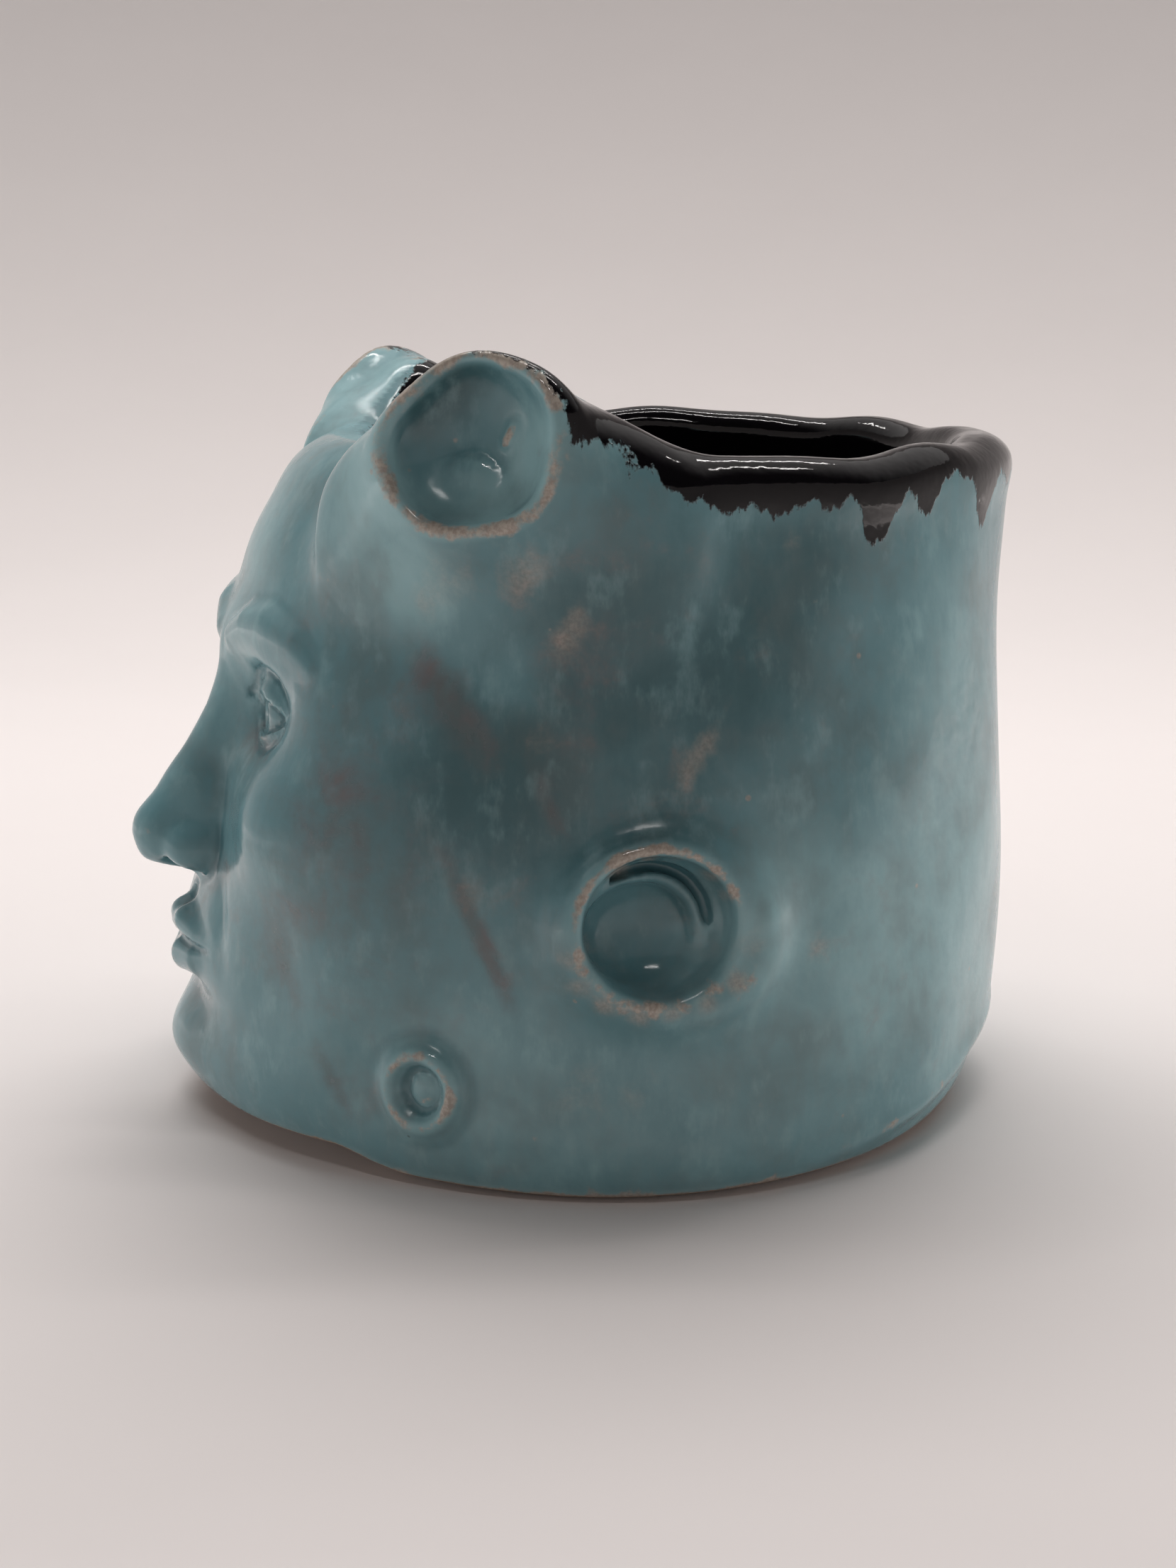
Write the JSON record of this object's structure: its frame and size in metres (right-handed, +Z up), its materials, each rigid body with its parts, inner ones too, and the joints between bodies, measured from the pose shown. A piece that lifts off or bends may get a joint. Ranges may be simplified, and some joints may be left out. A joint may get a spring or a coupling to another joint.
{
  "type": "face mug",
  "caption": "Hand-built glazed stoneware mug in the form of a head: calm face in front, dished horn stubs at the lip, cupped ears, and a black glazed inside that drips over the lip.",
  "frame": {"origin": "the middle of the flat foot, on the surface that the mug stands on", "axes": "+Z up, the face looks along -Y, and the head's own left side is +X"},
  "size_m": [0.1014, 0.1035, 0.0916],
  "materials": {
    "celadon": "gloss",
    "stained_celadon": "gloss",
    "black_glaze": "gloss"
  },
  "bodies": {
    "root": {"floor_slab": "celadon", "wall_slab": "celadon", "left_horn_cup": "celadon", "right_horn_cup": "celadon", "left_ear_cup": "celadon", "right_ear_cup": "celadon", "left_ear_fold": "celadon", "right_ear_fold": "celadon", "left_jaw_ring": "celadon", "right_jaw_ring": "celadon", "left_jaw_button": "celadon", "right_jaw_button": "celadon", "face_slab": "stained_celadon", "left_eyeball": "stained_celadon", "right_eyeball": "stained_celadon", "left_upper_eyelid": "stained_celadon", "right_upper_eyelid": "stained_celadon", "left_lower_eyelid": "stained_celadon", "right_lower_eyelid": "stained_celadon", "nose": "stained_celadon", "left_brow": "stained_celadon", "right_brow": "stained_celadon", "left_cheek_pad": "stained_celadon", "right_cheek_pad": "stained_celadon", "upper_lip": "stained_celadon", "lower_lip": "stained_celadon", "chin_pad": "stained_celadon", "black_glaze": "black_glaze"}
  },
  "joints": []
}
